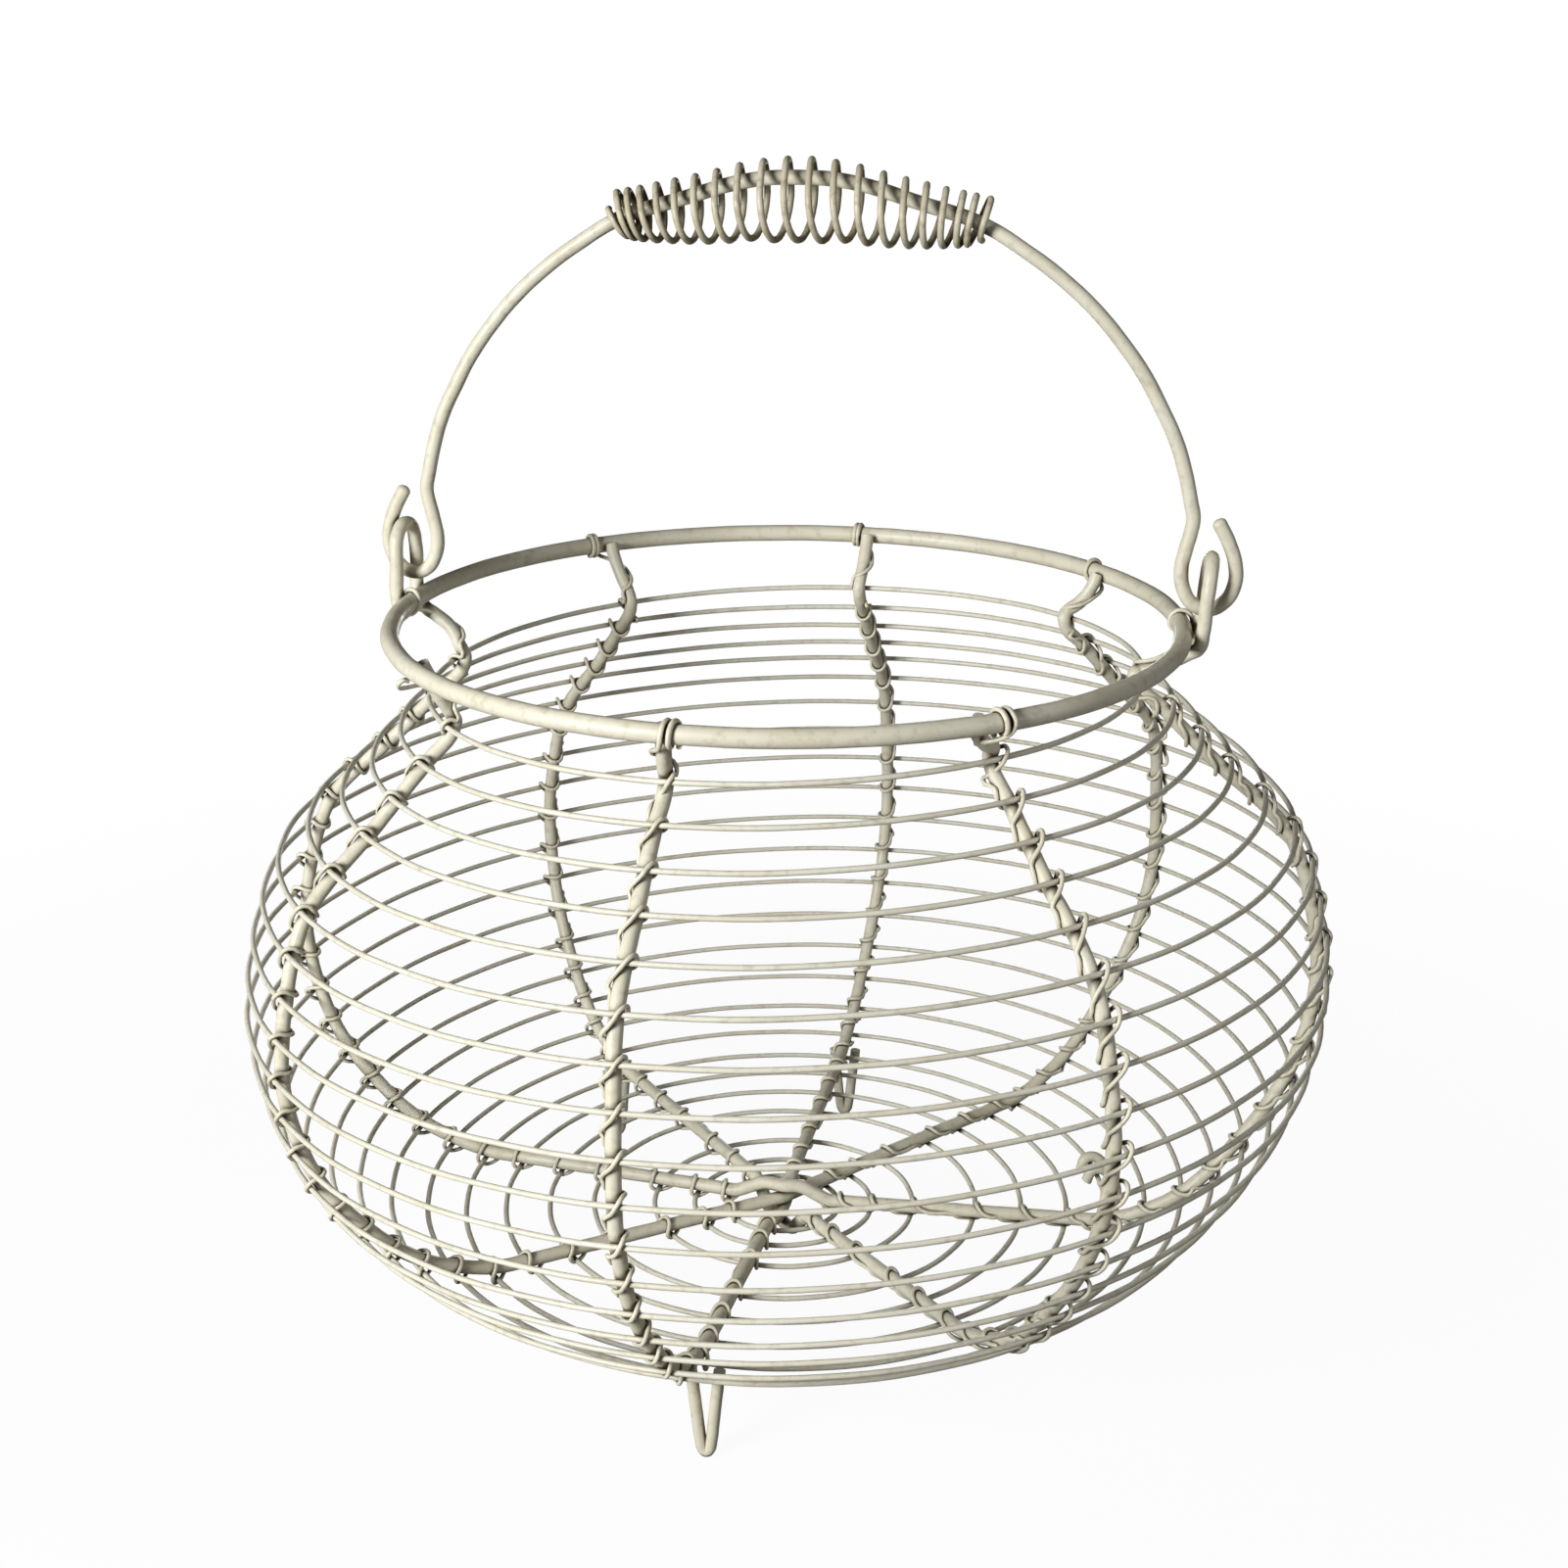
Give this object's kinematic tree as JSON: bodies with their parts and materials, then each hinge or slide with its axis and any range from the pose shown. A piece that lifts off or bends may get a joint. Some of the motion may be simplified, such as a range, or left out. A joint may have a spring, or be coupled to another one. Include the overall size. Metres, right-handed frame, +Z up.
{
  "type": "wire egg basket",
  "caption": "Round pot-bellied wire basket of hoops lashed to ribs, with an open neck, a thick rim, wire feet and a bail handle with a coiled wire grip that swings in two ears.",
  "frame": {"origin": "on the floor below the middle of the body", "axes": "+Z up, +X towards the ear under the right end of the handle, -Y towards the front foot"},
  "size_m": [0.2796, 0.2795, 0.292],
  "materials": {
    "basket_wire": "satin cream coating on steel wire",
    "hoop_wire": "satin cream coating on thin steel wire",
    "lashing_wire": "satin cream coating, thicker in the crooks",
    "handle_wire": "satin cream coating on steel wire"
  },
  "bodies": {
    "basket": {"rim": "basket_wire", "hoop_01": "hoop_wire", "hoop_02": "hoop_wire", "hoop_03": "hoop_wire", "hoop_04": "hoop_wire", "hoop_05": "hoop_wire", "hoop_06": "hoop_wire", "hoop_07": "hoop_wire", "hoop_08": "hoop_wire", "hoop_09": "hoop_wire", "hoop_10": "hoop_wire", "hoop_11": "hoop_wire", "hoop_12": "hoop_wire", "hoop_13": "hoop_wire", "hoop_14": "hoop_wire", "hoop_15": "hoop_wire", "hoop_16": "hoop_wire", "hoop_17": "hoop_wire", "hoop_18": "hoop_wire", "hoop_19": "hoop_wire", "bottom_ring_1": "hoop_wire", "bottom_ring_2": "hoop_wire", "bottom_ring_3": "hoop_wire", "bottom_ring_4": "hoop_wire", "bottom_ring_5": "hoop_wire", "bottom_ring_6": "hoop_wire", "rib_wire_back_left": "basket_wire", "rib_wire_front": "basket_wire", "rib_wire_ears": "basket_wire", "rib_wire_back_right": "basket_wire", "lashing_right_ear": "lashing_wire", "lashing_back_right": "lashing_wire", "lashing_back": "lashing_wire", "lashing_back_left": "lashing_wire", "lashing_left_ear": "lashing_wire", "lashing_front_left": "lashing_wire", "lashing_front": "lashing_wire", "lashing_front_right": "lashing_wire", "foot_front": "basket_wire", "foot_back": "basket_wire", "foot_right": "basket_wire", "foot_left": "basket_wire"},
    "bail": {"handle": "handle_wire", "grip_coil": "handle_wire"}
  },
  "joints": [
    {"name": "handle_swing", "type": "hinge", "parent": "basket", "child": "bail", "pos_m": [0, 0.00723, 0.1868], "axis": [1, 0, 0], "range_deg": [-84, 84]}
  ]
}
